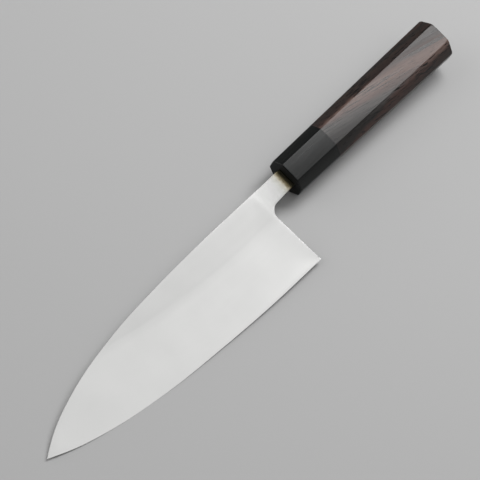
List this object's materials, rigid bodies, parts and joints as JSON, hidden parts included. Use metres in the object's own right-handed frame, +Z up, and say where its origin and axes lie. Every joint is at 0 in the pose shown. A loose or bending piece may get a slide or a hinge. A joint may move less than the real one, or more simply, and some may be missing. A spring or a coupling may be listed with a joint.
{
  "type": "deba knife",
  "caption": "Heavy single-bevel fish knife lying hollow side up, with a laminated blade, a horn ferrule and an octagonal rosewood handle.",
  "frame": {"origin": "on the surface that the knife lies on, under the middle of its box", "axes": "+X from the tip to the butt, level, along the handle's axis as seen from above; +Y towards the spine; +Z up, out of the blade's hollow side. The knife lies on its bevel, so its own axes are turned by about 13 degrees about X and 2 degrees about Y."},
  "size_m": [0.33, 0.0596, 0.0286],
  "materials": {
    "hard_steel": "hard carbon steel, finely ground along the hollow, satin, ground bright at the rim",
    "cladding_steel": "softer cladding steel, satin ground, with a brown heat tint at the ferrule",
    "buffalo_horn": "black buffalo horn, polished, faint lighter streaks",
    "rosewood": "dark purplish rosewood, long dark streaks and pores, thin oil finish",
    "dowel_wood": "pale close-grained wood, unfinished and hidden",
    "bedding_resin": "hard brown resin, hidden but for a thin line round the neck"
  },
  "bodies": {
    "root": {"hard_steel_layer": "hard_steel", "blade_and_tang": "cladding_steel", "horn_ferrule": "buffalo_horn", "handle_body": "rosewood", "handle_dowel": "dowel_wood", "tang_bedding": "bedding_resin"}
  },
  "joints": []
}
